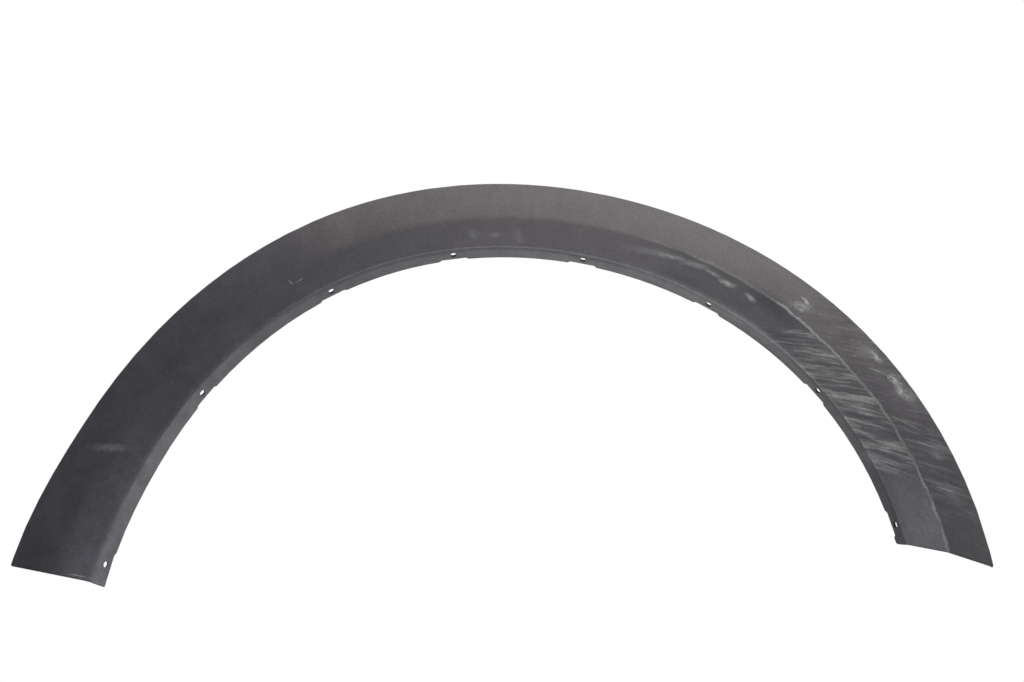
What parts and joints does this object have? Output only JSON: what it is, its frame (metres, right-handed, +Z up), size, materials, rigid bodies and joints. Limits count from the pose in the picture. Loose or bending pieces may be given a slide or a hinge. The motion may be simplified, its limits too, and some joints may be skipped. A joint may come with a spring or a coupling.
{
  "type": "wheel-arch fender trim",
  "caption": "Arched moulded trim for a car's wheel opening: a creased face that widens towards both ends, a return flange with clip holes in shallow pads, and hidden clip towers.",
  "frame": {"origin": "centre of the locating clip hole, clip_hole_5, halfway through the flange's wall", "axes": "+X along the car towards the end with the sharp crease, +Y into the body, square to the plane where the rim meets the fender, +Z up"},
  "size_m": [0.9271, 0.0249, 0.3872],
  "materials": {
    "trim": "grained, faded dark grey, scuffed"
  },
  "bodies": {
    "root": {"arch_trim": "trim"}
  },
  "joints": []
}
